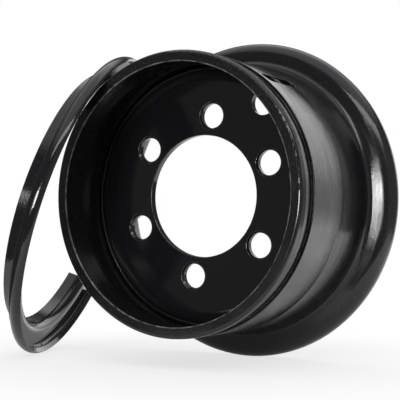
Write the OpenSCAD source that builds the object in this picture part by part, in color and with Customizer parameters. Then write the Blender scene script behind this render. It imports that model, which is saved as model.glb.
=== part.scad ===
// Industrial steel wheel with a loose split side ring.
// Millimetres, +Z up. The origin is on the wheel's axis at the disc's hub face.
// The axis lies along Y and the open front of the wheel looks towards -Y.
// The profiles are drawn as [radius, distance ahead of the hub face].

/* [Rim base] */
// Width between the two tyre flanges with the side ring fitted
rim_w = 177.8; // [172:0.1:190]
// Bead seat diameter at the heel
seat_d = 387.4; // [384:0.1:391]
// Bead seat taper in degrees
seat_taper = 5; // [4.5:0.1:6]
// Length of the tapered seat, from the flat band back to the flange
seat_l = 73.2; // [60:0.1:80]
// Thickness of the rolled steel
rim_t = 8.4; // [7:0.1:9]
// Height of the back flange above the bead seat's heel
flange_h = 33.2; // [30:0.1:38]
// How far the back flange's wall leans back, in degrees
flange_flare = 9; // [2:0.5:12]
// Outer radius of the back flange's roll
flange_roll_r = 18.5; // [16:0.5:21]
// How far the roll turns down past its top, in degrees
flange_curl = 43; // [20:1:60]
// Fillet between the back seat and its flange
heel_r = 8; // [6:0.5:9]
// Distance from the back flange's face forward to the hub face
inset = 103; // [95:0.5:110]

/* [Gutter and lip] */
// How far the lip in front of the gutter stays below the flat band
lip_drop = 0.8; // [0.2:0.1:1.5]
// Thickness of the gutter section, from the flat band to its bore
gutter_t = 15.9; // [14:0.1:19]
// Length of the lip from the gutter's front edge to its face
lip_w = 11.2; // [10:0.1:15]
// How far the lip's outside slopes down to its face, in degrees
lip_taper = 3.5; // [1:0.5:6]
// Radius on the lip's outer front corner
lip_corner_r = 4; // [2:0.5:5]
// Rounding of the lip's inner edge and of the gutter's back edge
cut_edge_r = 1; // [0.5:0.1:2]
// Depth of solid steel behind the gutter's back edge
gutter_back = 2; // [1:0.5:6]
// Length of the slope from the gutter section to the thin barrel
gutter_slope = 7.5; // [4:0.5:12]

/* [Disc] */
// Thickness of the disc
disc_t = 9.2; // [7:0.1:10]
// Diameter of the centre hole
bore_d = 165; // [150:0.5:172]
// Outer radius of the bend at the disc's rim
disc_bend_r = 22; // [18:0.5:24]
// Length of the skirt behind the bend
disc_skirt = 14; // [8:0.5:22]
// Bevel on the front edge of the centre hole
bore_bevel = 0.8; // [0.4:0.1:1.5]
// Gap between the skirt and the barrel
disc_clearance = 0.05; // [0.02:0.01:0.1]

/* [Bolt and valve holes] */
// Number of bolt holes
bolt_n = 6; // [5:1:8]
// Diameter of the bolt circle
bolt_pcd = 218; // [210:0.5:224]
// Diameter of each bolt hole
bolt_d = 33.2; // [24:0.1:34]
// Bevel on the front edge of a bolt hole
bolt_bevel = 2.4; // [1:0.1:3]
// Diameter of the valve hole in the disc
valve_d = 33.6; // [28:0.1:36]
// Distance from the barrel in to the centre of the valve hole
valve_inset = 26.2; // [25:0.1:28]
// Direction of the valve hole seen from the front, in degrees from +X
valve_angle = 52.9; // [0:0.1:360]
// Width of the valve slot in the barrel
slot_w = 18.6; // [14:0.1:22]
// Length of the valve slot along the barrel
slot_l = 80; // [50:0.5:84]
// Gap between the gutter's back edge and the valve slot
slot_gap = 7.3; // [4:0.1:12]

/* [Weld] */
// Where the bead meets the disc's bend, in degrees up from its outermost point
weld_reach = 43; // [35:1:52]
// Where the bead meets the barrel, ahead of the bend's outermost line
weld_leg = 10.7; // [8:0.1:13]
// How far the bead's root stays ahead of the bend's outermost line
weld_root = 4; // [2:0.1:5]
// Radius of the bead's crown
weld_crown_r = 6; // [5:0.5:12]

/* [Side ring] */
// Depth of the ring's foot below the flat band
foot_depth = 3.6; // [3:0.1:5]
// Thickness of the ring's upright wall
ring_t = 7.4; // [6:0.1:8]
// Outer radius of the ring's roll
ring_roll_r = 11.05; // [10:0.05:14]
// How far the ring's roll turns past its top, in degrees
ring_curl = 51; // [30:1:60]
// Radius of the bend under the ring's wall
ring_bend_r = 15.7; // [12:0.1:17]
// Length of the ring's foot ahead of its wall
foot_l = 21.8; // [20:0.1:24]
// Side play of the ring's foot in the gutter
ring_play = 0.5; // [0.3:0.1:1]
// Height of the gutter's floor below the ring's foot
ring_clearance = 0.4; // [0.2:0.1:0.8]
// Width of the split in the ring
ring_split = 18; // [4:0.5:24]
// Place of the split around the ring, in degrees
ring_split_angle = 320.3; // [0:1:360]
// Rounding of the ring's foot
ring_toe_r = 1.5; // [1:0.1:2]

/* [Side ring leaning on the wheel] */
// Turn of the ring about the upright axis, in degrees
ring_yaw = 21.2; // [19:0.1:24]
// Lean of the ring towards the wheel, in degrees
ring_lean = 18.3; // [16.5:0.1:18.5]
// Distance from the lip's left side to the ring's centre
ring_side = 25.3; // [24:0.1:40]
// Distance from the lip's face back to the ring's centre
ring_back = 97.2; // [96:0.1:120]

/* [Hidden] */
$fn = 128;
over = 1;
bite = 0.002;
lap = 0.1;
black = [0.10, 0.10, 0.11];
weld_black = [0.14, 0.14, 0.15];
slope = tan(seat_taper);
seat_r = seat_d / 2;
flange_r = seat_r + flange_h;
base_r = seat_r - seat_l * slope;
barrel_r = base_r - rim_t;
lip_r = base_r - lip_drop;
lip_back_r = lip_r + lip_w * tan(lip_taper);
lip_bore_r = base_r - gutter_t;
ring_foot_r = base_r - foot_depth;
valve_pos_r = barrel_r - valve_inset;

// Stations along the axis, ahead of the hub face
wall_z = -inset;
front_wall_z = wall_z + rim_w;
seat_start_z = wall_z + seat_l;
bend_z = front_wall_z + ring_t - ring_bend_r;
gutter_floor_r = ring_foot_r - ring_clearance;
gutter_bend_r = ring_bend_r + ring_clearance;
gutter_front_z = bend_z + sqrt(pow(gutter_bend_r, 2) - pow(gutter_floor_r + gutter_bend_r - lip_back_r, 2));
gutter_back_z = front_wall_z - foot_l - ring_play;
lip_z = gutter_front_z + lip_w;
slot_front_z = gutter_back_z - slot_gap;

// Centres of the bends in the profiles
wall_out = [sin(flange_flare), cos(flange_flare)];
wall_up = [cos(flange_flare), -sin(flange_flare)];
seat_out = [cos(seat_taper), sin(seat_taper)];
heel_c = [seat_r, wall_z] + heel_r * (seat_out + wall_out) / (1 + seat_out * wall_out);
wall_top_r = flange_r - flange_roll_r * (1 - wall_out[0]);
roll_c = [wall_top_r, wall_z - (wall_top_r - seat_r) * tan(flange_flare)] - flange_roll_r * wall_out;
disc_bend_c = [barrel_r - disc_clearance - disc_bend_r, disc_t - disc_bend_r];

// A sector of a ring in the profile plane, from angle a0 to angle a1
module bend(centre, r_in, r_out, a0, a1) {
    far = 2 * r_out;
    mid = (a0 + a1) / 2;
    translate(centre) intersection() {
        difference() {
            circle(r = r_out);
            circle(r = r_in);
        }
        polygon([[0, 0], far * [cos(a0), sin(a0)], far * [cos(mid), sin(mid)], far * [cos(a1), sin(a1)]]);
    }
}

// What lies between a corner and an arc that touches both of its sides, at angles a0 and a1.
// It reaches past the sides by deep, and the arc bites into them a hair so that it always meets them.
module corner(centre, r, a0, a1, deep) {
    d0 = [cos(a0), sin(a0)];
    d1 = [cos(a1), sin(a1)];
    far = r + deep;
    translate(centre) difference() {
        polygon([[0, 0], far * d0, far * (d0 + d1) / (1 + d0 * d1), far * d1]);
        circle(r = r + bite);
    }
}

// Turns a profile about the wheel's axis
module wheel_turn() {
    rotate([90, 0, 0]) rotate_extrude() children();
}

// Places a tool at a radius and an angle, pointing along the wheel's axis
module on_face(r, angle) {
    rotate([90, 0, 0]) rotate(angle) translate([r, 0, 0]) children();
}

module gutter_groove() {
    translate([gutter_floor_r, gutter_back_z]) square([gutter_bend_r, bend_z - gutter_back_z]);
    translate([gutter_floor_r + gutter_bend_r, bend_z]) circle(r = gutter_bend_r);
}

module lip_section() {
    thick_end_z = gutter_back_z - gutter_back;
    bend_top_r = lip_r + (lip_z - bend_z) * tan(lip_taper);
    lip_out = [cos(lip_taper), sin(lip_taper)];
    face_out = [0, 1];
    corner_c = [lip_r, lip_z] - lip_corner_r * (lip_out + face_out) / (1 + lip_out * face_out);
    difference() {
        polygon([
            [lip_bore_r, lip_z], [lip_bore_r, thick_end_z], [barrel_r, thick_end_z - gutter_slope],
            [barrel_r, seat_start_z], [base_r, seat_start_z],
            [base_r, bend_z], [bend_top_r, bend_z], [lip_r, lip_z]
        ]);
        gutter_groove();
        corner(corner_c, lip_corner_r, lip_taper, 90, over);
        corner([lip_bore_r + cut_edge_r, lip_z - cut_edge_r], cut_edge_r, 90, 180, over);
        corner([base_r - cut_edge_r, gutter_back_z - cut_edge_r], cut_edge_r, 0, 90, over);
    }
}

module seat_section() {
    barrel_end_z = seat_start_z - rim_t * tan(seat_taper / 2);
    back_corner = heel_c - (heel_r + rim_t) * (seat_out + wall_out) / (1 + seat_out * wall_out);
    roll_in_r = flange_roll_r - rim_t;
    difference() {
        polygon([
            [barrel_r, seat_start_z], [barrel_r, barrel_end_z], back_corner,
            roll_c + roll_in_r * wall_out + lap * wall_up, roll_c + flange_roll_r * wall_out + lap * wall_up,
            [seat_r, wall_z], [base_r, seat_start_z]
        ]);
        corner(heel_c, heel_r + rim_t, 180 + seat_taper, 270 - flange_flare, over);
    }
    corner(heel_c, heel_r, 180 + seat_taper, 270 - flange_flare, rim_t / 2);
    bend(roll_c, roll_in_r - bite, flange_roll_r + bite, -flange_curl, 90 - flange_flare);
}

module valve_slot() {
    slot_r = slot_w / 2;
    rear = slot_front_z - slot_l + slot_r;
    front = slot_front_z - slot_r;
    on_face(0, valve_angle) rotate([0, 90, 0]) translate([0, 0, barrel_r - rim_t]) {
        for (z = [rear, front]) translate([-z, 0, 0]) cylinder(r = slot_r, h = 3 * rim_t);
        translate([-front, -slot_r, 0]) cube([front - rear, slot_w, 3 * rim_t]);
    }
}

module rim_base() {
    color(black) difference() {
        wheel_turn() {
            lip_section();
            seat_section();
        }
        valve_slot();
    }
}

// A round hole through the flat of the disc, bevelled on its front edge
module bevelled_hole(d, bevel) {
    r = d / 2;
    translate([0, 0, -over]) cylinder(r = r, h = disc_t + 2 * over);
    translate([0, 0, disc_t - bevel]) cylinder(r1 = r, r2 = r + bevel + over, h = bevel + over);
}

module disc_section() {
    skirt_r = disc_bend_c[0] + disc_bend_r - disc_t;
    square([disc_bend_c[0], disc_t]);
    bend(disc_bend_c, disc_bend_r - disc_t, disc_bend_r, 0, 90);
    translate([skirt_r, disc_bend_c[1] - disc_skirt]) square([disc_t, disc_skirt]);
}

module wheel_disc() {
    valve_depth = disc_bend_r + disc_skirt;
    color(black) difference() {
        wheel_turn() disc_section();
        on_face(0, 0) bevelled_hole(bore_d, bore_bevel);
        for (k = [0 : bolt_n - 1])
            on_face(bolt_pcd / 2, valve_angle + (k + 0.5) * 360 / bolt_n) bevelled_hole(bolt_d, bolt_bevel);
        on_face(valve_pos_r, valve_angle)
            translate([0, 0, disc_t - valve_depth]) cylinder(d = valve_d, h = valve_depth + over);
    }
}

module disc_weld() {
    disc_toe = disc_bend_c + disc_bend_r * [cos(weld_reach), sin(weld_reach)];
    barrel_toe = [barrel_r, disc_bend_c[1] + weld_leg];
    chord = barrel_toe - disc_toe;
    across = [chord[1], -chord[0]] / norm(chord);
    crown_c = (disc_toe + barrel_toe) / 2 + sqrt(pow(weld_crown_r, 2) - pow(norm(chord) / 2, 2)) * across;
    root_z = disc_bend_c[1] + weld_root;
    color(weld_black) wheel_turn() difference() {
        intersection() {
            union() {
                polygon([
                    crown_c, [disc_bend_c[0], root_z],
                    [barrel_r + over, root_z], [barrel_r + over, crown_c[1]]
                ]);
                translate(crown_c) circle(r = weld_crown_r);
            }
            translate([disc_bend_c[0], root_z]) square([barrel_r - disc_bend_c[0], disc_bend_r]);
        }
        translate(disc_bend_c) circle(r = disc_bend_r);
    }
}

// The ring's section in its own frame, with the roll's centre at station 0
module ring_section() {
    roll_r = flange_r - ring_roll_r;
    front = ring_t - ring_roll_r;
    tip = -ring_roll_r - foot_l;
    heel = [seat_r - heel_r * slope + heel_r / cos(seat_taper), -ring_roll_r - heel_r];
    difference() {
        polygon([[ring_foot_r, tip], [seat_r - foot_l * slope, tip], [seat_r, -ring_roll_r],
                 [roll_r, -ring_roll_r], [roll_r, front], [ring_foot_r, front]]);
        corner([ring_foot_r + ring_bend_r, front - ring_bend_r], ring_bend_r, 90, 180, over);
        corner([ring_foot_r + ring_toe_r, tip + ring_toe_r], ring_toe_r, 180, 270, over);
    }
    corner(heel, heel_r, 90, 180 - seat_taper, ring_t / 2);
    bend([roll_r, 0], ring_roll_r - ring_t, ring_roll_r, -90, ring_curl);
}

module side_ring() {
    stand_z = (flange_r - ring_roll_r) * cos(ring_lean) + ring_roll_r - flange_r;
    split_turn = 2 * asin(ring_split / (2 * flange_r));
    color(black)
        translate([-lip_r - ring_side, ring_back - lip_z, stand_z])
        rotate([0, ring_lean, ring_yaw]) rotate([90, 0, 90]) difference() {
            rotate_extrude() ring_section();
            rotate(ring_split_angle + split_turn / 2)
                translate([lip_bore_r, -ring_split / 2, -foot_l - 2 * ring_roll_r])
                cube([flange_r - lip_bore_r + over, ring_split, foot_l + 4 * ring_roll_r]);
        }
}

rim_base();
wheel_disc();
disc_weld();
side_ring();
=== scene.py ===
import math

import bpy
from mathutils import Euler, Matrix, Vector


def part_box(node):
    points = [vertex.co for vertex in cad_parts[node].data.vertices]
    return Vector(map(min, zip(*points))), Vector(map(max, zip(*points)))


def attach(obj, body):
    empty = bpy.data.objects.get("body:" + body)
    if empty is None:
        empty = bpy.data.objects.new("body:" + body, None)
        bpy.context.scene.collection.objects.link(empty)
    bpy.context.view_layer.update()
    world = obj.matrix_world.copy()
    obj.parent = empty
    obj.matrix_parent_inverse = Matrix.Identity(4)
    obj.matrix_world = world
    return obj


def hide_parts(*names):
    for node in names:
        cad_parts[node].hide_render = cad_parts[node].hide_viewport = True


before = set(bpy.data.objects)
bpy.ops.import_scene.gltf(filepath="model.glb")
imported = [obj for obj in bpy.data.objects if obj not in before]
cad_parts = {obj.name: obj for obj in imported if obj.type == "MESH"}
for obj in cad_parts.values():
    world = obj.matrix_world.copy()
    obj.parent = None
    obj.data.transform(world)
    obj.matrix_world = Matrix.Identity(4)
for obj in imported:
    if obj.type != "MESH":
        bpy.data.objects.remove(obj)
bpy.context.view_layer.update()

FLOOR_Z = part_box("rim_base")[0].z
LIP_FACE_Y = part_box("rim_base")[0].y


class Graph:
    """A material's nodes, added and linked by short calls."""

    def __init__(self, tree):
        self.tree = tree
        self.tree.nodes.clear()

    def add(self, kind, inputs=None, **settings):
        node = self.tree.nodes.new(kind)
        for key, value in settings.items():
            setattr(node, key, value)
        for key, value in (inputs or {}).items():
            self.feed(node, key, value)
        return node

    def feed(self, node, key, value):
        if isinstance(value, bpy.types.NodeSocket):
            self.tree.links.new(value, node.inputs[key])
        else:
            node.inputs[key].default_value = value

    def math(self, operation, first, second=0.0):
        return self.add("ShaderNodeMath", {0: first, 1: second}, operation=operation).outputs[0]

    def ramp(self, value, low, high, to_low=0.0, to_high=1.0):
        inputs = {"Value": value, "From Min": low, "From Max": high, "To Min": to_low, "To Max": to_high}
        return self.add("ShaderNodeMapRange", inputs, interpolation_type="SMOOTHSTEP").outputs[0]

    def noise(self, vector, scale, detail=2.0, roughness=0.5):
        inputs = {"Vector": vector, "Scale": scale, "Detail": detail, "Roughness": roughness}
        return self.add("ShaderNodeTexNoise", inputs).outputs["Fac"]

    def vector(self, x, y, z):
        return self.add("ShaderNodeCombineXYZ", {0: x, 1: y, 2: z}).outputs[0]

    def mix(self, share, first, second):
        inputs = {"Factor": share, "A": first, "B": second}
        return self.add("ShaderNodeMix", inputs, data_type="RGBA").outputs["Result"]

    def bump(self, height, distance, strength=1.0, normal=None):
        inputs = {"Height": height, "Distance": distance, "Strength": strength}
        if normal is not None:
            inputs["Normal"] = normal
        return self.add("ShaderNodeBump", inputs).outputs["Normal"]

    def blend(self, share, first, second):
        mix = self.add("ShaderNodeMixShader", {0: share})
        self.tree.links.new(first.outputs[0], mix.inputs[1])
        self.tree.links.new(second.outputs[0], mix.inputs[2])
        return mix

    def finish(self, shader, kind="ShaderNodeOutputMaterial"):
        output = self.tree.nodes.new(kind)
        self.tree.links.new(shader.outputs[0], output.inputs["Surface"])


def new_graph(name):
    material = bpy.data.materials.new(name)
    material.use_nodes = True
    return material, Graph(material.node_tree)


# Paint colours, and the paint's sizes in metres or in waves a metre
PAINT_BLACK = (0.0065, 0.0065, 0.0075, 1)
DUST_GREY = (0.12, 0.12, 0.12, 1)
SPECK_GREY = (0.10, 0.10, 0.098, 1)
# Grey of the thin paint on the edges and of the painted highlight along them and along the lip's inner edge
EDGE_WEAR_AND_HIGHLIGHT_GREY = (0.20, 0.20, 0.20, 1)
EDGE_ROUND = 0.0009
EDGE_MEETING = (0.985, 0.90)
# Patches, width and depth of the painted highlight along the lip's inner edge
EDGE_PATCHES = 240.0
LIP_HIGHLIGHT_PATCHES = 120.0
LIP_LINE_WIDTH = (1.8 * EDGE_ROUND, 0.5 * EDGE_ROUND)
LIP_LINE_DEPTH = (2.5 * EDGE_ROUND, EDGE_ROUND)
SAG_SCALE = 22.0
SAG_DEPTH = 0.0006
PEEL_SCALE = 330.0
CLOUD_SCALE = 16.0
STREAK_SCALE = 420.0
DUST_SCALE = 1300.0
SPECK_SCALE = 900.0


def lip_edge_radius():
    """Radius of the lip face's inner edge, read from the rim's mesh."""
    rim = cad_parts["rim_base"]
    points = [rim.matrix_world @ vertex.co for vertex in rim.data.vertices]
    return min(math.hypot(point.x, point.z) for point in points if point.y < LIP_FACE_Y + EDGE_ROUND / 4)


def lip_highlight_line(g, axes):
    """Where a highlight is painted along the lip's inner edge, from 0 away from it to 1 on it."""
    across = g.vector(axes[0], 0.0, axes[2])
    radius = g.add("ShaderNodeVectorMath", {0: across}, operation="LENGTH").outputs["Value"]
    off = g.math("ABSOLUTE", g.math("SUBTRACT", radius, lip_edge_radius()))
    behind = g.math("SUBTRACT", axes[1], LIP_FACE_Y)
    return g.math("MULTIPLY", g.ramp(off, *LIP_LINE_WIDTH), g.ramp(behind, *LIP_LINE_DEPTH))


def thin_edges_and_highlight(g, rounded, place):
    """Where the paint is thin, with a painted highlight on it: a broken line along every sharp edge."""
    plain = g.add("ShaderNodeNewGeometry").outputs["Normal"]
    meet = g.add("ShaderNodeVectorMath", {0: rounded, 1: plain}, operation="DOT_PRODUCT").outputs["Value"]
    patches = g.ramp(g.noise(place, EDGE_PATCHES, 4.0), 0.32, 0.58)
    return g.math("MULTIPLY", g.ramp(meet, *EDGE_MEETING), patches)


def gloss_paint(name, peel_depth=0.00018, rough=(0.05, 0.11), streaks=0.0, specks=0.0, lip=False):
    """Thick black paint over steel: orange peel, sags, dust specks, thin places on the edges with a painted
    highlight on them, and a painted highlight along the lip's inner edge.
    """
    material, g = new_graph(name)
    place = g.add("ShaderNodeTexCoord").outputs["Object"]
    axes = g.add("ShaderNodeSeparateXYZ", {0: place}).outputs
    turn = g.math("ARCTAN2", axes[2], axes[0])
    rounded = g.add("ShaderNodeBevel", {"Radius": EDGE_ROUND}, samples=6).outputs[0]
    normal = g.bump(g.noise(place, SAG_SCALE, 2.0), SAG_DEPTH, 0.25, rounded)
    normal = g.bump(g.noise(place, PEEL_SCALE, 2.0, 0.6), peel_depth, 0.5, normal)
    cloud = g.ramp(g.noise(place, CLOUD_SCALE, 4.0), 0.35, 0.7, *rough)
    if streaks:
        lines = g.vector(g.math("MULTIPLY", turn, 1.2), g.math("MULTIPLY", axes[1], STREAK_SCALE), 0.0)
        strands = g.noise(lines, 1.0, 3.0, 0.7)
        normal = g.bump(strands, streaks, 0.6, normal)
        cloud = g.math("MULTIPLY", cloud, g.ramp(strands, 0.35, 0.65, 0.7, 2.2))
    dust = g.ramp(g.noise(place, DUST_SCALE, 1.0), 0.735, 0.78)
    colour = g.mix(dust, PAINT_BLACK, DUST_GREY)
    speck = g.math("MULTIPLY", g.ramp(g.noise(place, SPECK_SCALE, 1.0), 0.69, 0.77), specks)
    colour = g.mix(speck, colour, SPECK_GREY)
    # Grey on every sharp edge: partly thin paint, partly a painted highlight
    colour = g.mix(thin_edges_and_highlight(g, rounded, place), colour, EDGE_WEAR_AND_HIGHLIGHT_GREY)
    if lip:
        # A painted highlight along the lip's inner edge, broken into patches
        highlight_patches = g.ramp(g.noise(place, LIP_HIGHLIGHT_PATCHES, 5.0, 0.7), 0.30, 0.75)
        colour = g.mix(g.math("MULTIPLY", lip_highlight_line(g, axes), highlight_patches), colour, EDGE_WEAR_AND_HIGHLIGHT_GREY)
    shader = g.add("ShaderNodeBsdfPrincipled", {"Base Color": colour, "Roughness": cloud, "Normal": normal})
    g.finish(shader)
    return material


# The floor's glow near the object and far from it, to the camera and to reflections
GLOW_NEAR = 0.72
GLOW_NEAR_MIRRORED = 0.1
GLOW_FAR_MIRRORED = 1.5
GLOW_REACH = (0.22, 0.6)


def pale_ground():
    """The white floor: white to the camera and to reflections, and it keeps the object's shadow."""
    material, g = new_graph("pale_floor")
    diffuse = g.add("ShaderNodeBsdfDiffuse", {"Color": (0.9, 0.9, 0.9, 1)})
    rays = g.add("ShaderNodeLightPath")
    camera = rays.outputs["Is Camera Ray"]
    strength = g.ramp(camera, 0.0, 1.0, GLOW_FAR_MIRRORED, 1.0)
    glow = g.add("ShaderNodeEmission", {"Color": (1, 1, 1, 1), "Strength": strength})
    mirrored = g.math("MAXIMUM", rays.outputs["Is Glossy Ray"], rays.outputs["Is Transmission Ray"])
    place = g.add("ShaderNodeTexCoord").outputs["Object"]
    reach = g.add("ShaderNodeVectorMath", {0: place}, operation="LENGTH").outputs["Value"]
    near = g.ramp(camera, 0.0, 1.0, GLOW_NEAR_MIRRORED, GLOW_NEAR)
    share = g.math("MULTIPLY", g.math("MAXIMUM", camera, mirrored), g.ramp(reach, *GLOW_REACH, near, 1.0))
    g.finish(g.blend(share, diffuse, glow))
    return material


# The camera, in metres, degrees and millimetres of lens
CAMERA_SPOT = Vector((0.739623, -1.224587, -0.056046))
CAMERA_TURN = 31.455
CAMERA_RISE = 2.04
CAMERA_ROLL = 0.426
CAMERA_LENS = 94.84
CAMERA_SENSOR = 36.0

# How far the floor reaches from the axis, in metres, as the camera sees it
FLOOR_LEFT = 0.42
FLOOR_RIGHT = 0.85
FLOOR_FRONT = 0.34
FLOOR_BACK = 25.0


def add_floor():
    """A white table that ends a little ahead and to the sides of the object and runs far behind it."""
    turn = Euler((0, 0, math.radians(CAMERA_TURN))).to_matrix()
    corners = [
        (-FLOOR_LEFT, -FLOOR_FRONT, 0), (FLOOR_RIGHT, -FLOOR_FRONT, 0),
        (FLOOR_RIGHT, FLOOR_BACK, 0), (-FLOOR_LEFT, FLOOR_BACK, 0),
    ]
    mesh = bpy.data.meshes.new("floor")
    mesh.from_pydata([turn @ Vector(corner) for corner in corners], [], [(0, 1, 2, 3)])
    mesh.materials.append(pale_ground())
    floor = bpy.data.objects.new("floor", mesh)
    bpy.context.scene.collection.objects.link(floor)
    floor.location.z = FLOOR_Z


# Strengths of the room around the object
ROOM_LEFT = 0.09
ROOM_FRONT = 0.155
ROOM_RIGHT = 0.42
BACKDROP_LOW = 1.0
BACKDROP_HIGH = 1.9
CEILING_GLOW = 1.05
CEILING_RISE = (33, 55)
BACK_CEILING_GLOW = 1.6


def add_world():
    """A studio: white backdrop behind the object, pale ceiling above, a dim room on the camera's side."""
    world = bpy.data.worlds.new("studio")
    bpy.context.scene.world = world
    world.use_nodes = True
    g = Graph(world.node_tree)
    way = g.add("ShaderNodeTexCoord").outputs["Generated"]
    axes = g.add("ShaderNodeSeparateXYZ", {0: way}).outputs
    behind = g.ramp(axes[1], 0.85, 0.885)
    backdrop = g.ramp(g.math("ABSOLUTE", axes[2]), 0.06, 0.24, BACKDROP_LOW, BACKDROP_HIGH)
    low, high = [math.sin(math.radians(rise)) for rise in CEILING_RISE]
    walls = g.math("ADD", g.ramp(axes[0], -1.0, -0.5, ROOM_LEFT, ROOM_FRONT),
                   g.ramp(axes[0], 0.55, 1.0, 0.0, ROOM_RIGHT - ROOM_FRONT))
    above = g.math("MAXIMUM", walls, g.ramp(axes[2], low, high, 0.0, CEILING_GLOW))
    back_high = g.ramp(axes[2], low, high, 0.0, BACK_CEILING_GLOW)
    back_above = g.math("MULTIPLY", g.ramp(axes[1], 0.1, 0.4), back_high)
    light = g.math("MAXIMUM", g.math("MULTIPLY", behind, backdrop), g.math("MAXIMUM", above, back_above))
    room = g.add("ShaderNodeBackground", {"Color": (0.97, 0.98, 1.0, 1), "Strength": light})
    rays = g.add("ShaderNodeLightPath")
    camera = rays.outputs["Is Camera Ray"]
    mirrored = g.math("MAXIMUM", rays.outputs["Is Glossy Ray"], rays.outputs["Is Transmission Ray"])
    glow = g.math("POWER", backdrop, g.math("SUBTRACT", 1.0, camera))
    white = g.add("ShaderNodeBackground", {"Color": (1, 1, 1, 1), "Strength": glow})
    seen = g.math("MAXIMUM", camera, g.math("MULTIPLY", mirrored, behind))
    g.finish(g.blend(seen, room, white), "ShaderNodeOutputWorld")


LAMP_DISTANCE = 2.4


def add_lamp(name, turn, rise, spread, glow):
    """A softbox turn degrees from +X towards +Y and rise degrees up, spread degrees wide and tall."""
    lamp = bpy.data.lights.new(name, "AREA")
    lamp.shape = "RECTANGLE"
    lamp.size, lamp.size_y = [2 * LAMP_DISTANCE * math.tan(math.radians(angle / 2)) for angle in spread]
    lamp.energy = glow * math.pi * lamp.size * lamp.size_y
    obj = bpy.data.objects.new(name, lamp)
    bpy.context.scene.collection.objects.link(obj)
    turn, rise = math.radians(turn), math.radians(rise)
    way = Vector((math.cos(rise) * math.cos(turn), math.cos(rise) * math.sin(turn), math.sin(rise)))
    obj.location = way * LAMP_DISTANCE
    obj.rotation_euler = (-way).to_track_quat("-Z", "Y").to_euler()
    obj.visible_camera = False


def add_lamps():
    add_lamp("window", -86, 1.3, (32, 12), 5)
    add_lamp("window_core", -85, 1.3, (14, 11), 24)
    add_lamp("high_front", -46, 39, (58, 13), 4.5)


def add_camera():
    data = bpy.data.cameras.new("camera")
    data.lens = CAMERA_LENS
    data.sensor_width = CAMERA_SENSOR
    camera = bpy.data.objects.new("camera", data)
    bpy.context.scene.collection.objects.link(camera)
    camera.location = CAMERA_SPOT
    level = Euler((math.radians(90 + CAMERA_RISE), 0, math.radians(CAMERA_TURN)), "XYZ").to_matrix()
    roll = Euler((0, 0, math.radians(CAMERA_ROLL)), "XYZ").to_matrix()
    camera.rotation_euler = (level @ roll).to_euler()
    bpy.context.scene.camera = camera


# The weld bead, in metres: its crown, its ripples and how its line wanders
BEAD_PARTS = 12
BEAD_RIPPLES = 380
BEAD_STEPS = BEAD_RIPPLES * 4
BEAD_CROWN = 0.0012
RIPPLE_HEIGHT = 0.00035
RIPPLE_BOW = 2.2
WANDER_WAVES = ((7, 0.0005), (19, 0.0003), (43, 0.0002))


def bead_line(node):
    """The weld's two toes and its root, as (radius, y), read from the plain ring in the frame."""
    points = [node.matrix_world @ vertex.co for vertex in node.data.vertices]
    section = [Vector((math.hypot(point.x, point.z), point.y)) for point in points]
    barrel_toe = min(section, key=lambda spot: spot.y - spot.x)
    disc_toe = min(section, key=lambda spot: spot.x)
    root = Vector((barrel_toe.x, max(spot.y for spot in section)))
    return barrel_toe, disc_toe, root


def add_weld_bead():
    """The rippled weld bead between the disc and the barrel, which stands for the plain ring."""
    barrel_toe, disc_toe, root = bead_line(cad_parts["disc_weld"])
    across = disc_toe - barrel_toe
    inward = Vector((-across.y, across.x)).normalized()
    if inward.y > 0:
        inward.negate()
    vertices = []
    for step in range(BEAD_STEPS):
        turn = 2 * math.pi * step / BEAD_STEPS
        wander = sum(reach * math.sin(waves * (turn + 1)) for waves, reach in WANDER_WAVES)
        for part in range(BEAD_PARTS + 1):
            share = part / BEAD_PARTS
            dome = 4 * share * (1 - share)
            ripple = math.sin(BEAD_RIPPLES * turn + RIPPLE_BOW * dome)
            height = dome * (BEAD_CROWN + RIPPLE_HEIGHT * ripple)
            spot = barrel_toe + across * share + inward * height + across.normalized() * wander * dome
            vertices.append((spot.x * math.cos(turn), spot.y, spot.x * math.sin(turn)))
        vertices.append((root.x * math.cos(turn), root.y, root.x * math.sin(turn)))
    ring = BEAD_PARTS + 2
    faces = []
    for step in range(BEAD_STEPS):
        here, there = step * ring, (step + 1) % BEAD_STEPS * ring
        for part in range(ring):
            after = (part + 1) % ring
            faces.append((here + part, there + part, there + after, here + after))
    mesh = bpy.data.meshes.new("weld_bead")
    mesh.from_pydata(vertices, [], faces)
    mesh.shade_smooth()
    bead = bpy.data.objects.new("weld_bead", mesh)
    bpy.context.scene.collection.objects.link(bead)
    mesh.materials.append(gloss_paint("bead_paint", peel_depth=0.0003, rough=(0.10, 0.22)))
    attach(bead, "root")
    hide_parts("disc_weld")


def dress():
    paints = {
        "rim_base": gloss_paint("rim_paint", rough=(0.07, 0.14), streaks=0.0002, specks=1.0, lip=True),
        "wheel_disc": gloss_paint("disc_paint"),
        "disc_weld": gloss_paint("weld_paint", peel_depth=0.0004),
        "side_ring": gloss_paint("ring_paint", specks=0.7),
    }
    for name, paint in paints.items():
        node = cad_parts[name]
        node.data.materials.clear()
        node.data.materials.append(paint)


add_camera()
add_world()
add_floor()
add_lamps()
dress()
add_weld_bead()
bpy.context.scene.view_settings.view_transform = "Standard"
bpy.context.view_layer.update()
